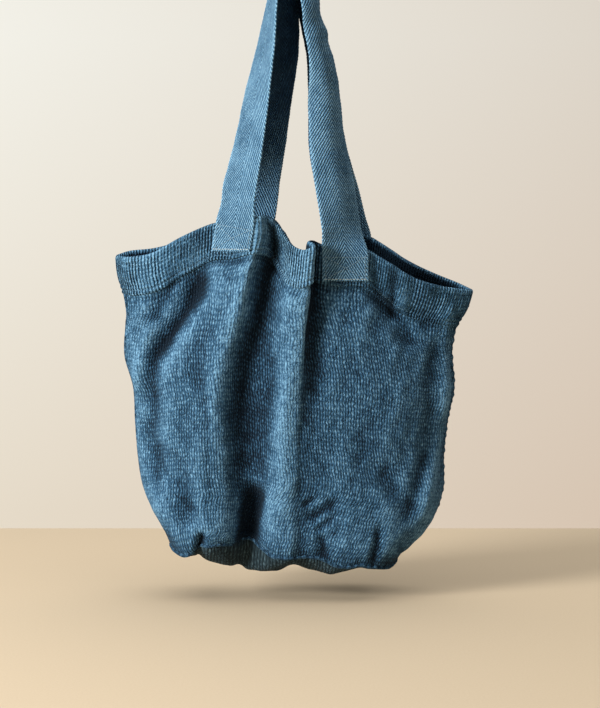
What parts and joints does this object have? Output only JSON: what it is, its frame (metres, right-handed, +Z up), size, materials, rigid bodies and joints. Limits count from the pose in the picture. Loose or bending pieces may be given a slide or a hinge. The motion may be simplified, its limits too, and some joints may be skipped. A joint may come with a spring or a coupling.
{
  "type": "rope storage bag",
  "caption": "Open cloth tote for storing and carrying rope: a coarse-woven sack with a boxed base, a turned hem and webbing handles sewn to its mouth.",
  "frame": {"origin": "the highest point inside the two handle loops, where they bear on the peg that holds the bag", "axes": "+Z up, +X to the bag's right as its front is seen, -Y to its front; the sack hangs tilted 5.7 degrees to its right"},
  "size_m": [0.403, 0.132, 0.7581],
  "materials": {
    "cloth": "matte",
    "webbing": "matte",
    "seam": "matte",
    "thread": "matte"
  },
  "bodies": {
    "sack": {"front_panel": "cloth", "back_panel": "cloth", "base_panel": "cloth", "base_seam": "seam", "front_hem": "cloth", "back_hem": "cloth", "left_side_seam": "seam", "right_side_seam": "seam", "front_hem_stitches": "thread", "back_hem_stitches": "thread", "front_left_tab": "webbing", "front_right_tab": "webbing", "back_left_tab": "webbing", "back_right_tab": "webbing", "front_left_stitches": "thread", "front_right_stitches": "thread", "back_left_stitches": "thread", "back_right_stitches": "thread"},
    "front_handle": {"front_handle_strip": "webbing"},
    "back_handle": {"back_handle_strip": "webbing"}
  },
  "joints": [
    {"name": "front_handle_fold", "type": "hinge", "parent": "sack", "child": "front_handle", "pos_m": [-0.0043, -0.04812, -0.36175], "axis": [0.9724, -0.0161, -0.2328], "range_deg": [0, 170]},
    {"name": "back_handle_fold", "type": "hinge", "parent": "sack", "child": "back_handle", "pos_m": [0.008, 0.04851, -0.3515], "axis": [-0.9868, -0.0007, 0.1618], "range_deg": [0, 170]}
  ]
}
